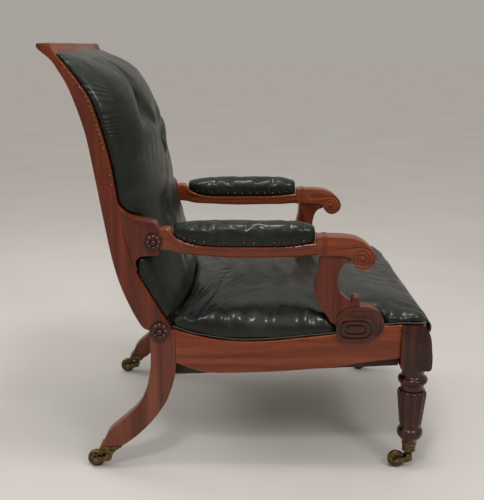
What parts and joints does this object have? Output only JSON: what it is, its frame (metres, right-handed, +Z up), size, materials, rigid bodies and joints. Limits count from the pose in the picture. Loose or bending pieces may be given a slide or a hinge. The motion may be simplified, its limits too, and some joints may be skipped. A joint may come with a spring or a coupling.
{
  "type": "upholstered library armchair",
  "caption": "Open armchair with a buttoned raked leather back, crowned sprung seat, padded scroll arms, sabre rear legs, reeded front legs and swivelling brass casters.",
  "frame": {"origin": "on the floor, under the middle of the chair's overall length and width", "axes": "+X to the front of the chair, +Y to the sitter's left, +Z up"},
  "size_m": [0.8913, 0.6816, 0.998],
  "materials": {
    "mahogany": "French polished, warm red brown with lighter worn edges",
    "dark_mahogany": "French polished, darkened in the carving",
    "beech": "stained hidden timber, unpolished",
    "green_leather": "glossy aged hide, very dark green",
    "aged_brass": "tarnished brass",
    "steel_pin": "dull steel",
    "spring_steel": "dull drawn wire",
    "jute_webbing": "coarse woven jute",
    "jute_canvas": "plain woven hessian"
  },
  "bodies": {
    "chair_frame": {"stile_left": "mahogany", "stile_right": "mahogany", "crest_rail": "mahogany", "back_bottom_rail": "beech", "back_cover": "green_leather", "back_cushion": "green_leather", "back_buttons": "green_leather", "bracket_left": "mahogany", "bracket_right": "mahogany", "arm_rosettes": "dark_mahogany", "seat_rosettes": "dark_mahogany", "rear_leg_left": "mahogany", "rear_leg_right": "mahogany", "side_rail_left": "mahogany", "side_rail_right": "mahogany", "inner_rail_left": "beech", "inner_rail_right": "beech", "front_rail": "mahogany", "rear_rail": "beech", "corner_blocks": "beech", "front_leg_left": "dark_mahogany", "front_leg_right": "dark_mahogany", "arm_left": "mahogany", "arm_right": "mahogany", "arm_pad_left": "green_leather", "arm_pad_right": "green_leather", "arm_support_left": "dark_mahogany", "arm_support_right": "dark_mahogany", "support_pateras": "dark_mahogany", "seat_cushion": "green_leather", "seat_webbing": "jute_webbing", "seat_springs": "spring_steel", "spring_canvas": "jute_canvas", "back_nails": "aged_brass", "pad_nails": "aged_brass", "cup_front_left": "aged_brass", "cup_front_right": "aged_brass", "cup_rear_left": "aged_brass", "cup_rear_right": "aged_brass"},
    "caster_front_left": {"horn_front_left": "aged_brass", "axle_front_left": "steel_pin"},
    "roller_front_left": {"wheel_front_left": "aged_brass"},
    "caster_front_right": {"horn_front_right": "aged_brass", "axle_front_right": "steel_pin"},
    "roller_front_right": {"wheel_front_right": "aged_brass"},
    "caster_rear_left": {"horn_rear_left": "aged_brass", "axle_rear_left": "steel_pin"},
    "roller_rear_left": {"wheel_rear_left": "aged_brass"},
    "caster_rear_right": {"horn_rear_right": "aged_brass", "axle_rear_right": "steel_pin"},
    "roller_rear_right": {"wheel_rear_right": "aged_brass"}
  },
  "joints": [
    {"name": "swivel_front_left", "type": "hinge", "parent": "chair_frame", "child": "caster_front_left", "pos_m": [0.39256, 0.29956, 0.043], "axis": [0, 0, 1], "continuous": true},
    {"name": "roll_front_left", "type": "hinge", "parent": "caster_front_left", "child": "roller_front_left", "pos_m": [0.36257, 0.29956, 0.021], "axis": [0, 1, 0], "continuous": true},
    {"name": "swivel_front_right", "type": "hinge", "parent": "chair_frame", "child": "caster_front_right", "pos_m": [0.39256, -0.29956, 0.043], "axis": [0, 0, 1], "continuous": true},
    {"name": "roll_front_right", "type": "hinge", "parent": "caster_front_right", "child": "roller_front_right", "pos_m": [0.36257, -0.29956, 0.021], "axis": [0, 1, 0], "continuous": true},
    {"name": "swivel_rear_left", "type": "hinge", "parent": "chair_frame", "child": "caster_rear_left", "pos_m": [-0.33455, 0.28926, 0.043], "axis": [0, 0, 1], "continuous": true},
    {"name": "roll_rear_left", "type": "hinge", "parent": "caster_rear_left", "child": "roller_rear_left", "pos_m": [-0.36455, 0.28926, 0.021], "axis": [0, 1, 0], "continuous": true},
    {"name": "swivel_rear_right", "type": "hinge", "parent": "chair_frame", "child": "caster_rear_right", "pos_m": [-0.33455, -0.28926, 0.043], "axis": [0, 0, 1], "continuous": true},
    {"name": "roll_rear_right", "type": "hinge", "parent": "caster_rear_right", "child": "roller_rear_right", "pos_m": [-0.36455, -0.28926, 0.021], "axis": [0, 1, 0], "continuous": true}
  ]
}
